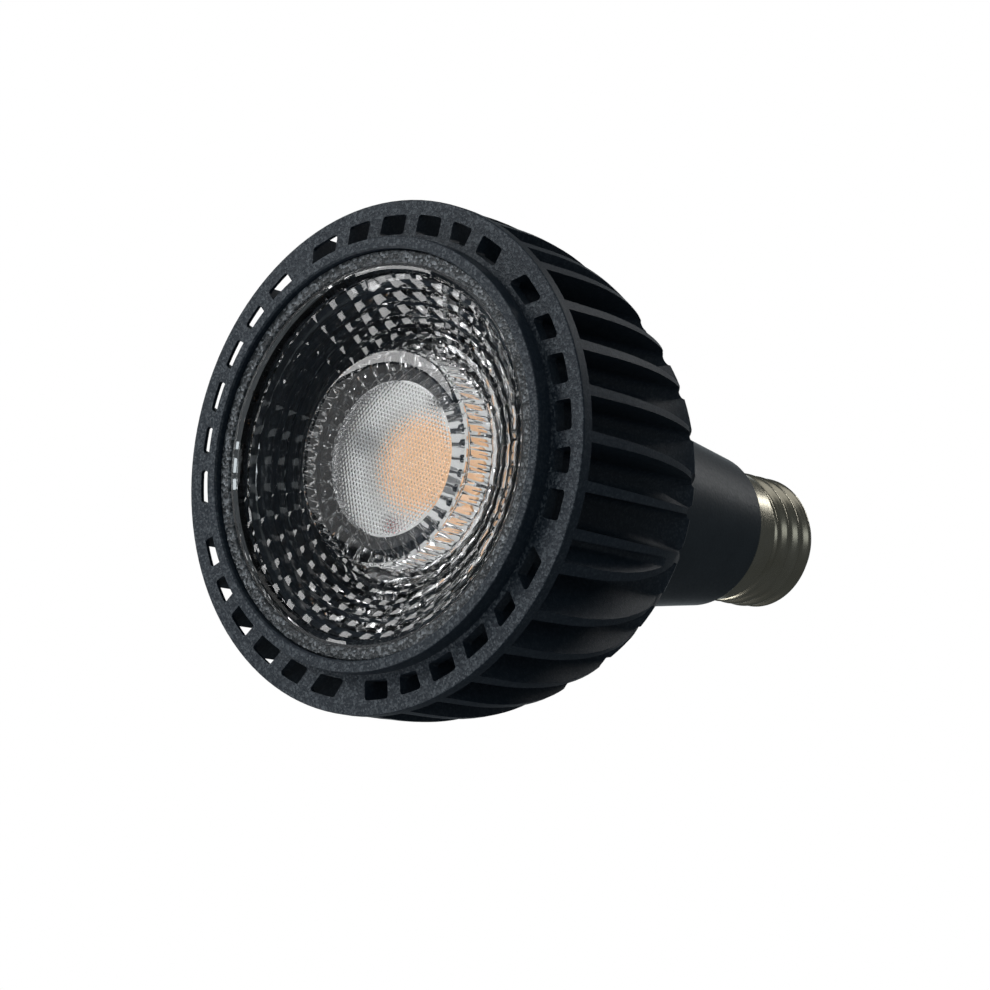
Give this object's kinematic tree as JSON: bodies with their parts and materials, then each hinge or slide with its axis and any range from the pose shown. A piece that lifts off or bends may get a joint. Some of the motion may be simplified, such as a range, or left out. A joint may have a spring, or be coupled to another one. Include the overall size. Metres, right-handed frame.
{
  "type": "LED grow light bulb",
  "caption": "Reflector-shaped LED grow lamp with a black finned heat sink, clear faceted lens, long neck and screw base.",
  "frame": {"origin": "centre of the bezel's front face, on which the lamp stands face down", "axes": "+Z along the lamp axis from the lens to the centre contact, +X through the middle of one of the five wide bridges of the flange"},
  "size_m": [0.095, 0.095, 0.129],
  "materials": {
    "powder_coat": "matte fine-grain powder coat",
    "ring_grain": "coarse spark-eroded grain",
    "clear_lens": "clear moulded polycarbonate, polished",
    "grey_pad": "soft silicone",
    "chip_base": "bright mirror aluminium with white mask",
    "phosphor": "cast silicone phosphor",
    "white_moulding": "white moulded",
    "zinc_screw": "zinc plated",
    "neck_plastic": "satin moulded",
    "nickel_brass": "nickel-plated brass, satin",
    "black_glass": "black vitrified glass",
    "solder": "tinned brass and solder",
    "board_green": "solder mask",
    "ferrite": "dark ferrite",
    "black_moulding": "black moulded",
    "copper_winding": "yellow tape over enamelled wire",
    "can_sleeve": "shrink sleeve",
    "film_box": "moulded box",
    "blue_coat": "dipped epoxy",
    "resistor_coat": "dipped coating",
    "red_insulation": "insulated lead",
    "black_insulation": "insulated lead"
  },
  "bodies": {
    "root": {"heat_sink": "powder_coat", "lens_ring": "ring_grain", "front_lens": "clear_lens", "thermal_pad": "grey_pad", "cob_board": "chip_base", "cob_phosphor": "phosphor", "cob_holder": "white_moulding", "holder_screws": "zinc_screw", "housing_screws": "zinc_screw", "driver_housing": "neck_plastic", "screw_shell": "nickel_brass", "base_insulator": "black_glass", "centre_contact": "solder", "driver_board": "board_green", "transformer_core": "ferrite", "transformer_bobbin": "black_moulding", "transformer_winding": "copper_winding", "input_capacitor": "can_sleeve", "output_capacitor": "can_sleeve", "output_diode": "black_moulding", "control_chip": "black_moulding", "film_capacitor": "film_box", "varistor": "blue_coat", "bridge_rectifier": "black_moulding", "fuse_resistor": "resistor_coat", "choke": "ferrite", "led_lead_red": "red_insulation", "led_lead_black": "black_insulation", "shell_lead": "red_insulation", "contact_lead": "black_insulation"}
  },
  "joints": []
}
